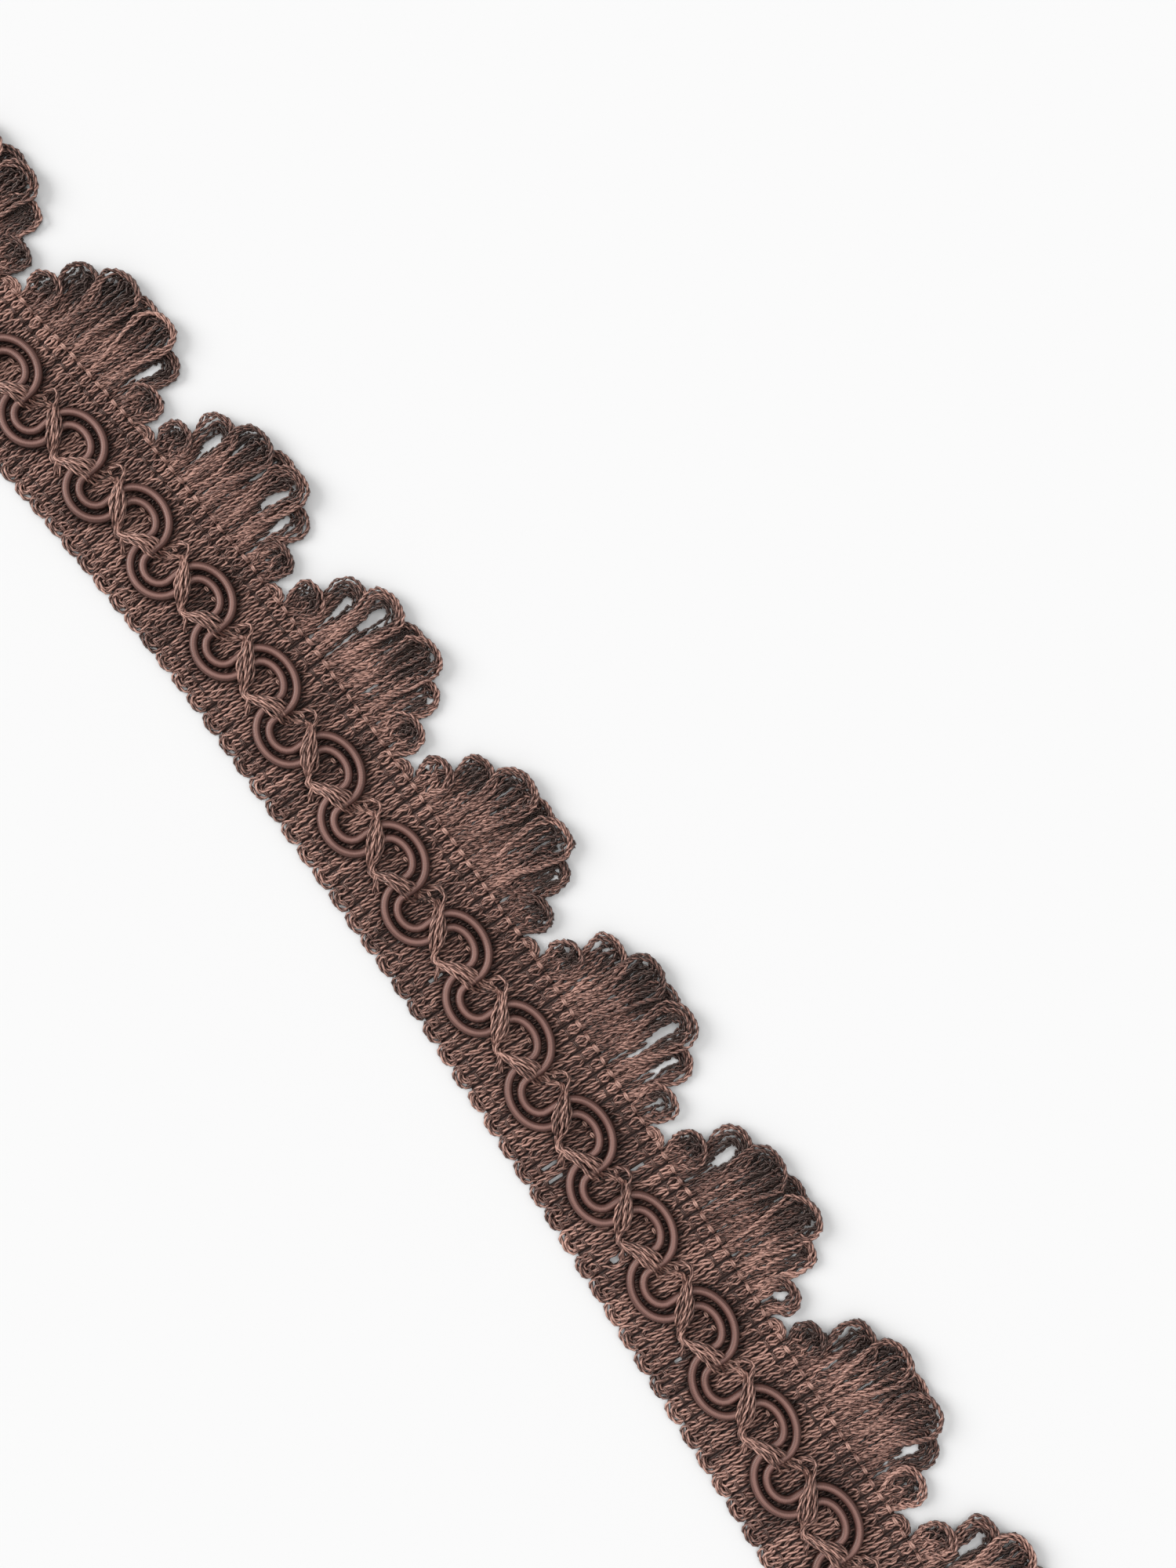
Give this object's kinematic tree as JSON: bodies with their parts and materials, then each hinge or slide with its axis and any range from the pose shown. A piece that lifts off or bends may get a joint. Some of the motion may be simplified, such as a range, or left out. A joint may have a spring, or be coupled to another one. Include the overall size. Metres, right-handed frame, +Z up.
{
  "type": "galloon trim",
  "caption": "Flat cut length of scalloped galloon braid: ribbed ground, wavy wrapped cords under a zigzag tie, small picots along the foot and fans of yarn loops along the head.",
  "frame": {"origin": "centre of the underside of the whole trim's box, on the surface that it lies on", "axes": "+X along the trim, +Y across it from the plain foot to the looped head, +Z up out of the face with the cords"},
  "size_m": [0.3756, 0.0564, 0.0047],
  "materials": {
    "yarn": "soft sheen of brown two-ply viscose yarn",
    "wrapped_cord": "satin sheen of fine thread wrapped closely round a core"
  },
  "bodies": {
    "root": {"ground": "yarn", "loop_fringe": "yarn", "tie_bundle": "yarn", "cord_wide_above": "wrapped_cord", "cord_wide_below": "wrapped_cord"}
  },
  "joints": []
}
